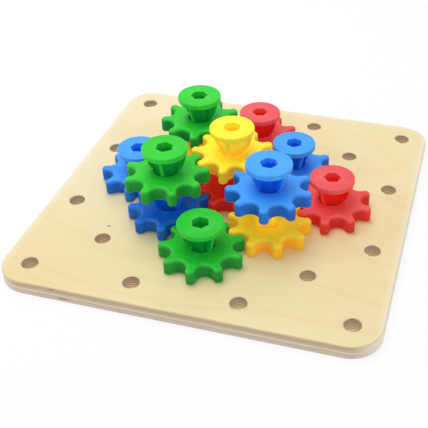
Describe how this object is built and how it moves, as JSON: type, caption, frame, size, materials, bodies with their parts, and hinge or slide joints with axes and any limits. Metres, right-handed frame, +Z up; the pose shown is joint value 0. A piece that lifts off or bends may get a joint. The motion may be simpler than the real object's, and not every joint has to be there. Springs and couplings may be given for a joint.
{
  "type": "wooden gear board toy",
  "caption": "Square plywood pegboard toy on which chunky plastic gears with ribbed knobs stand in its holes and stack into each other, meshing and turning together.",
  "frame": {"origin": "middle of the board's underside, on the surface that the toy stands on", "axes": "+Z up along every gear's axis; -Y towards the board's edge nearest the viewer of the picture; +X along that edge to the right"},
  "size_m": [0.3, 0.3, 0.0804],
  "materials": {
    "birch_plywood": "clear lacquered birch veneer with a greyish layered edge",
    "green_plastic": "satin moulded plastic",
    "blue_plastic": "satin moulded plastic",
    "yellow_plastic": "satin moulded plastic",
    "red_plastic": "satin moulded plastic"
  },
  "bodies": {
    "board": {"plywood_board": "birch_plywood"},
    "front_gear": {"front_gear_wheel": "green_plastic", "front_gear_knob": "green_plastic"},
    "front_right_gear": {"front_right_gear_wheel": "yellow_plastic", "front_right_gear_knob": "yellow_plastic"},
    "right_gear": {"right_gear_wheel": "red_plastic", "right_gear_knob": "red_plastic"},
    "front_left_gear": {"front_left_gear_wheel": "blue_plastic", "front_left_gear_knob": "blue_plastic"},
    "centre_gear": {"centre_gear_wheel": "red_plastic", "centre_gear_knob": "red_plastic"},
    "back_right_gear": {"back_right_gear_wheel": "blue_plastic", "back_right_gear_knob": "blue_plastic"},
    "left_gear": {"left_gear_wheel": "blue_plastic", "left_gear_knob": "blue_plastic"},
    "back_left_gear": {"back_left_gear_wheel": "yellow_plastic", "back_left_gear_knob": "yellow_plastic"},
    "back_gear": {"back_gear_wheel": "red_plastic", "back_gear_knob": "red_plastic"},
    "top_centre_gear": {"top_centre_gear_wheel": "yellow_plastic", "top_centre_gear_knob": "yellow_plastic"},
    "top_front_left_gear": {"top_front_left_gear_wheel": "green_plastic", "top_front_left_gear_knob": "green_plastic"},
    "top_front_right_gear": {"top_front_right_gear_wheel": "blue_plastic", "top_front_right_gear_knob": "blue_plastic"},
    "top_back_left_gear": {"top_back_left_gear_wheel": "green_plastic", "top_back_left_gear_knob": "green_plastic"}
  },
  "joints": [
    {"name": "front_gear_spin", "type": "hinge", "parent": "board", "child": "front_gear", "pos_m": [0, -0.08485, 0.012], "axis": [0, 0, 1], "continuous": true},
    {"name": "front_right_gear_spin", "type": "hinge", "parent": "board", "child": "front_right_gear", "pos_m": [0.04243, -0.04243, 0.012], "axis": [0, 0, 1], "continuous": true},
    {"name": "right_gear_spin", "type": "hinge", "parent": "board", "child": "right_gear", "pos_m": [0.08485, 0, 0.012], "axis": [0, 0, 1], "continuous": true},
    {"name": "front_left_gear_spin", "type": "hinge", "parent": "board", "child": "front_left_gear", "pos_m": [-0.04243, -0.04243, 0.012], "axis": [0, 0, 1], "continuous": true},
    {"name": "centre_gear_spin", "type": "hinge", "parent": "board", "child": "centre_gear", "pos_m": [0, 0, 0.012], "axis": [0, 0, 1], "continuous": true},
    {"name": "back_right_gear_spin", "type": "hinge", "parent": "board", "child": "back_right_gear", "pos_m": [0.04243, 0.04243, 0.012], "axis": [0, 0, 1], "continuous": true},
    {"name": "left_gear_spin", "type": "hinge", "parent": "board", "child": "left_gear", "pos_m": [-0.08485, 0, 0.012], "axis": [0, 0, 1], "continuous": true},
    {"name": "back_left_gear_spin", "type": "hinge", "parent": "board", "child": "back_left_gear", "pos_m": [-0.04243, 0.04243, 0.012], "axis": [0, 0, 1], "continuous": true},
    {"name": "back_gear_spin", "type": "hinge", "parent": "board", "child": "back_gear", "pos_m": [0, 0.08485, 0.012], "axis": [0, 0, 1], "continuous": true},
    {"name": "top_centre_gear_spin", "type": "hinge", "parent": "centre_gear", "child": "top_centre_gear", "pos_m": [0, 0, 0.0462], "axis": [0, 0, 1], "continuous": true},
    {"name": "top_front_left_gear_spin", "type": "hinge", "parent": "front_left_gear", "child": "top_front_left_gear", "pos_m": [-0.04243, -0.04243, 0.0462], "axis": [0, 0, 1], "continuous": true},
    {"name": "top_front_right_gear_spin", "type": "hinge", "parent": "front_right_gear", "child": "top_front_right_gear", "pos_m": [0.04243, -0.04243, 0.0462], "axis": [0, 0, 1], "continuous": true},
    {"name": "top_back_left_gear_spin", "type": "hinge", "parent": "back_left_gear", "child": "top_back_left_gear", "pos_m": [-0.04243, 0.04243, 0.0462], "axis": [0, 0, 1], "continuous": true}
  ],
  "couplings": [
    {"joint": "front_gear_spin", "follows": "centre_gear_spin", "ratio": 1},
    {"joint": "front_right_gear_spin", "follows": "centre_gear_spin", "ratio": -1},
    {"joint": "right_gear_spin", "follows": "centre_gear_spin", "ratio": 1},
    {"joint": "front_left_gear_spin", "follows": "centre_gear_spin", "ratio": -1},
    {"joint": "back_right_gear_spin", "follows": "centre_gear_spin", "ratio": -1},
    {"joint": "left_gear_spin", "follows": "centre_gear_spin", "ratio": 1},
    {"joint": "back_left_gear_spin", "follows": "centre_gear_spin", "ratio": -1},
    {"joint": "back_gear_spin", "follows": "centre_gear_spin", "ratio": 1},
    {"joint": "top_front_left_gear_spin", "follows": "top_centre_gear_spin", "ratio": -1},
    {"joint": "top_front_right_gear_spin", "follows": "top_centre_gear_spin", "ratio": -1},
    {"joint": "top_back_left_gear_spin", "follows": "top_centre_gear_spin", "ratio": -1}
  ]
}
